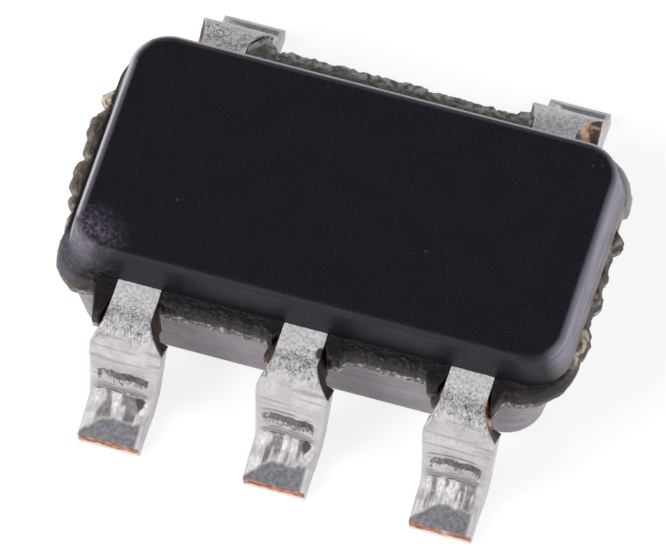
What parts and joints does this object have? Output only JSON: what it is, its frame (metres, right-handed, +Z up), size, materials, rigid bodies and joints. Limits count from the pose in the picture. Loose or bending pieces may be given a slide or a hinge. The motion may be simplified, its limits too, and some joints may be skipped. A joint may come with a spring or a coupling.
{
  "type": "surface-mount buffer chip",
  "caption": "Small rectangular moulded logic chip with gull-wing solder leads along both long sides, for soldering flat on a circuit board.",
  "frame": {"origin": "on the circuit board, below the middle of the moulded body", "axes": "+X along the body towards leads 3 and 4, +Y towards the two-lead side, +Z up out of the board"},
  "size_m": [0.003, 0.0028, 0.001],
  "materials": {
    "mould_compound": "fine matt black epoxy, slightly violet",
    "tin_plated_copper": "pale satin tin plating with bare copper at the cut faces",
    "silicon": "polished dark grey silicon",
    "silver_adhesive": "matt silver-filled epoxy",
    "gold": "drawn gold wire"
  },
  "bodies": {
    "root": {"body": "mould_compound", "lead_1": "tin_plated_copper", "lead_2": "tin_plated_copper", "lead_3": "tin_plated_copper", "lead_4": "tin_plated_copper", "lead_5": "tin_plated_copper", "die": "silicon", "die_adhesive": "silver_adhesive", "bond_wire_1": "gold", "bond_wire_2": "gold", "bond_wire_3": "gold", "bond_wire_4": "gold", "bond_wire_5": "gold"}
  },
  "joints": []
}
